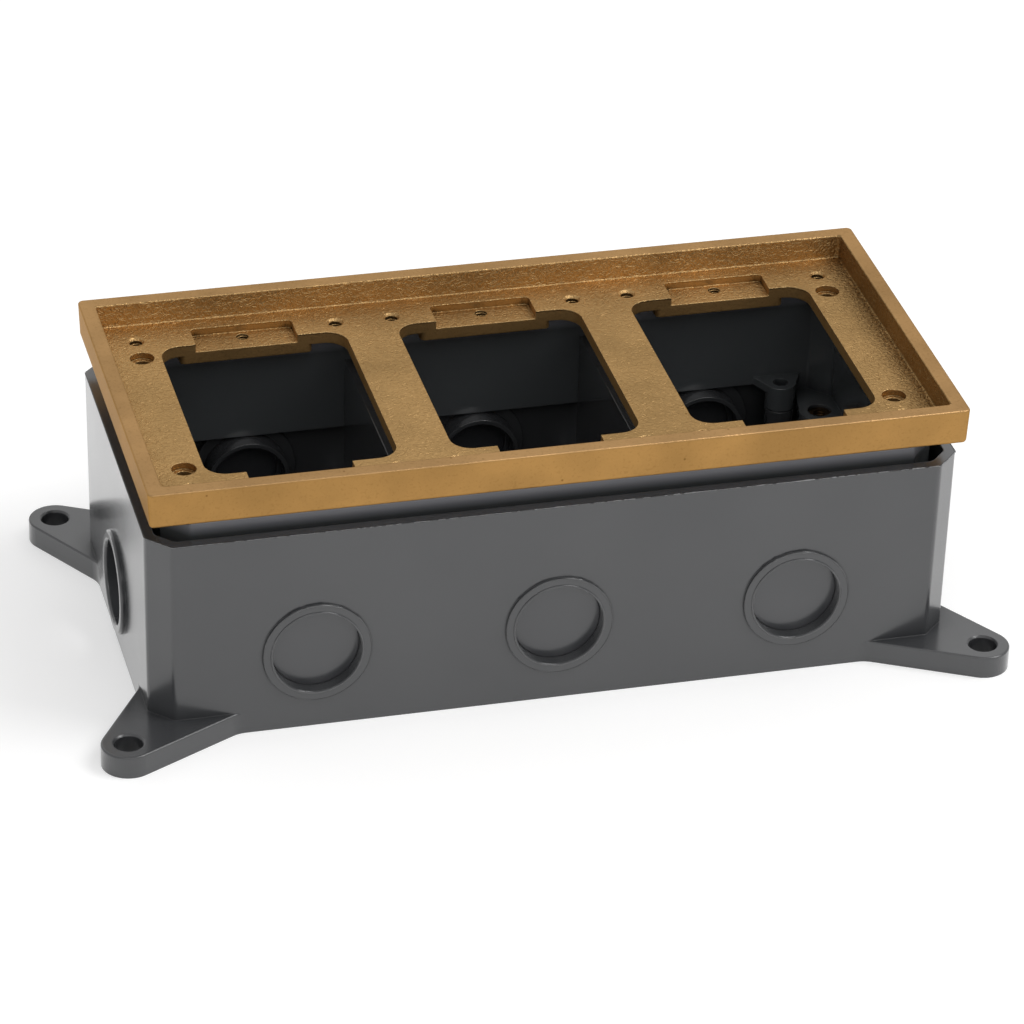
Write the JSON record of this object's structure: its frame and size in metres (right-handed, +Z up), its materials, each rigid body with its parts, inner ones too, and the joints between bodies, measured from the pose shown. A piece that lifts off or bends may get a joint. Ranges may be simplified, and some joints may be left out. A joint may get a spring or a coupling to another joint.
{
  "type": "floor socket box",
  "caption": "Cast-in floor box for a row of power sockets: moulded body with feet and conduit hubs, levelling sleeve, dividers and a cast bronze cover frame.",
  "frame": {"origin": "centre of the footprint, on the slab under the four feet", "axes": "+X along the row of gangs towards the closed end, +Y to the rear long wall, +Z up to the cover frame"},
  "size_m": [0.2546, 0.1336, 0.079],
  "materials": {
    "cast_bronze": "as cast, machined rim",
    "brass_inserts": "machined",
    "box_pvc": "semi-gloss",
    "sleeve_pvc": "semi-gloss",
    "divider_pvc": "gloss",
    "closure_pvc": "semi-gloss"
  },
  "bodies": {
    "box": {"box_body": "box_pvc"},
    "sleeve": {"levelling_sleeve": "sleeve_pvc", "frame_screw_inserts": "brass_inserts"},
    "frame": {"cover_frame": "cast_bronze"},
    "left_divider": {"left_divider": "divider_pvc"},
    "right_divider": {"right_divider": "divider_pvc"},
    "front_left_closure": {"front_left_closure": "closure_pvc"},
    "front_middle_closure": {"front_middle_closure": "closure_pvc"},
    "front_right_closure": {"front_right_closure": "closure_pvc"},
    "rear_left_closure": {"rear_left_closure": "closure_pvc"},
    "rear_middle_closure": {"rear_middle_closure": "closure_pvc"},
    "rear_right_closure": {"rear_right_closure": "closure_pvc"},
    "right_end_closure": {"right_end_closure": "closure_pvc"}
  },
  "joints": [
    {"name": "sleeve_levelling", "type": "slide", "parent": "box", "child": "sleeve", "axis": [0, 0, 1], "range_m": [0, 0.012]},
    {"name": "frame_lift", "type": "slide", "parent": "sleeve", "child": "frame", "axis": [0, 0, 1], "range_m": [0, 0.03]},
    {"name": "left_divider_lift", "type": "slide", "parent": "box", "child": "left_divider", "axis": [0, 0, 1], "range_m": [0, 0.01]},
    {"name": "right_divider_lift", "type": "slide", "parent": "box", "child": "right_divider", "axis": [0, 0, 1], "range_m": [0, 0.01]},
    {"name": "front_left_closure_pull", "type": "slide", "parent": "box", "child": "front_left_closure", "axis": [0, -1, 0], "range_m": [0, 0.012]},
    {"name": "front_middle_closure_pull", "type": "slide", "parent": "box", "child": "front_middle_closure", "axis": [0, -1, 0], "range_m": [0, 0.012]},
    {"name": "front_right_closure_pull", "type": "slide", "parent": "box", "child": "front_right_closure", "axis": [0, -1, 0], "range_m": [0, 0.012]},
    {"name": "rear_left_closure_pull", "type": "slide", "parent": "box", "child": "rear_left_closure", "axis": [0, 1, 0], "range_m": [0, 0.012]},
    {"name": "rear_middle_closure_pull", "type": "slide", "parent": "box", "child": "rear_middle_closure", "axis": [0, 1, 0], "range_m": [0, 0.012]},
    {"name": "rear_right_closure_pull", "type": "slide", "parent": "box", "child": "rear_right_closure", "axis": [0, 1, 0], "range_m": [0, 0.012]},
    {"name": "right_end_closure_pull", "type": "slide", "parent": "box", "child": "right_end_closure", "axis": [1, 0, 0], "range_m": [0, 0.012]}
  ]
}
